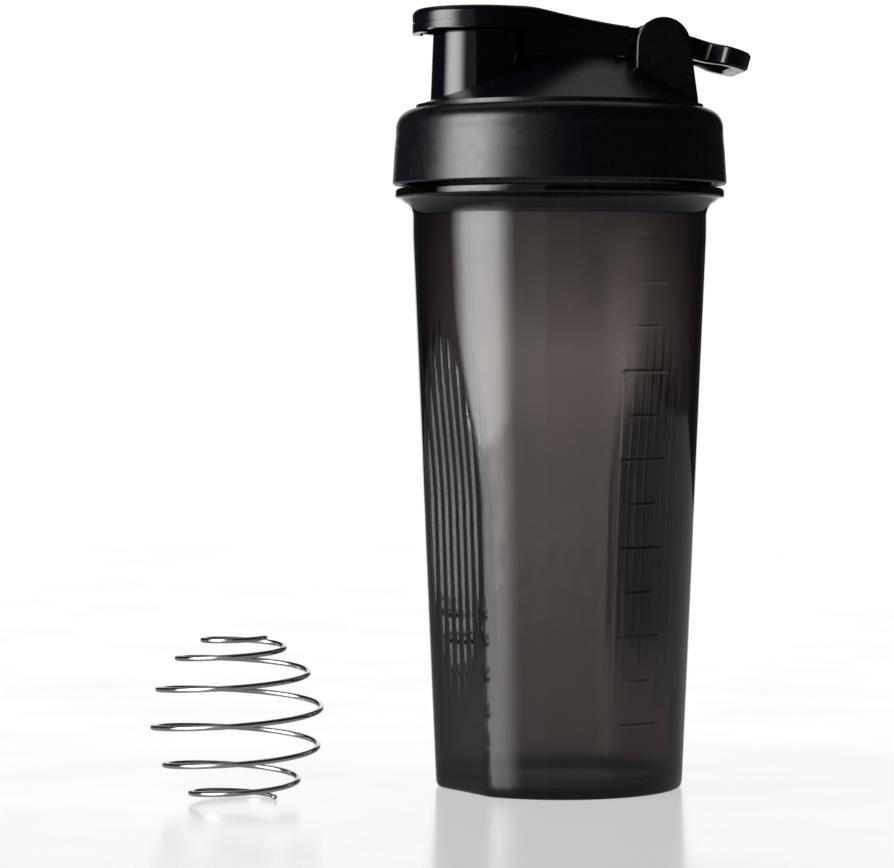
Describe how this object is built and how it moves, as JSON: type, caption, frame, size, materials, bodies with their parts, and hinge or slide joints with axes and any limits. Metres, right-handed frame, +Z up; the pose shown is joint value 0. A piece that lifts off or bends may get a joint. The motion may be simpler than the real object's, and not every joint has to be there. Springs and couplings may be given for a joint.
{
  "type": "protein shaker bottle",
  "caption": "Tapered shaker cup with finger grips and a screw lid that has a drinking spout, a flip cap and a carry loop, with a wire whisk ball standing beside it.",
  "frame": {"origin": "on the bottle's axis, at the surface it stands on", "axes": "+Z up along the bottle's axis; the drinking spout is at -X and the cap's hinge at +X"},
  "size_m": [0.1716, 0.0972, 0.2226],
  "materials": {
    "smoke_plastic": "translucent smoke-grey, lightly frosted",
    "black_plastic": "satin, fine texture",
    "cap_plastic": "gloss",
    "seal_rubber": "soft matt",
    "pin_steel": "ground",
    "ball_steel": "polished wire"
  },
  "bodies": {
    "cup": {"cup": "smoke_plastic"},
    "lid_seal": {"lid_seal": "seal_rubber"},
    "lid": {"lid": "black_plastic", "hinge_pin": "pin_steel"},
    "flip_cap": {"flip_cap": "cap_plastic", "spout_plug": "seal_rubber"},
    "carry_loop": {"carry_loop": "cap_plastic"},
    "whisk_ball": {"whisk_ball": "ball_steel"}
  },
  "joints": [
    {"name": "lid_climb", "type": "slide", "parent": "cup", "child": "lid_seal", "axis": [0, 0, 1], "range_m": [0, 0.024]},
    {"name": "lid_turn", "type": "hinge", "parent": "lid_seal", "child": "lid", "pos_m": [0, 0, 0.19], "axis": [0, 0, 1], "range_deg": [0, 1440]},
    {"name": "cap_flip", "type": "hinge", "parent": "lid", "child": "flip_cap", "pos_m": [0.0281, 0, 0.2122], "axis": [0, 1, 0], "range_deg": [0, 120]},
    {"name": "loop_swing", "type": "hinge", "parent": "lid", "child": "carry_loop", "pos_m": [0.0281, 0, 0.2122], "axis": [0, -1, 0], "range_deg": [-8, 8]},
    {"name": "whisk_lift", "type": "slide", "parent": "cup", "child": "whisk_ball", "axis": [0, 0, 1], "range_m": [0, 0.1]}
  ],
  "couplings": [
    {"joint": "lid_climb", "follows": "lid_turn", "m_per_rad": 0.00095493}
  ]
}
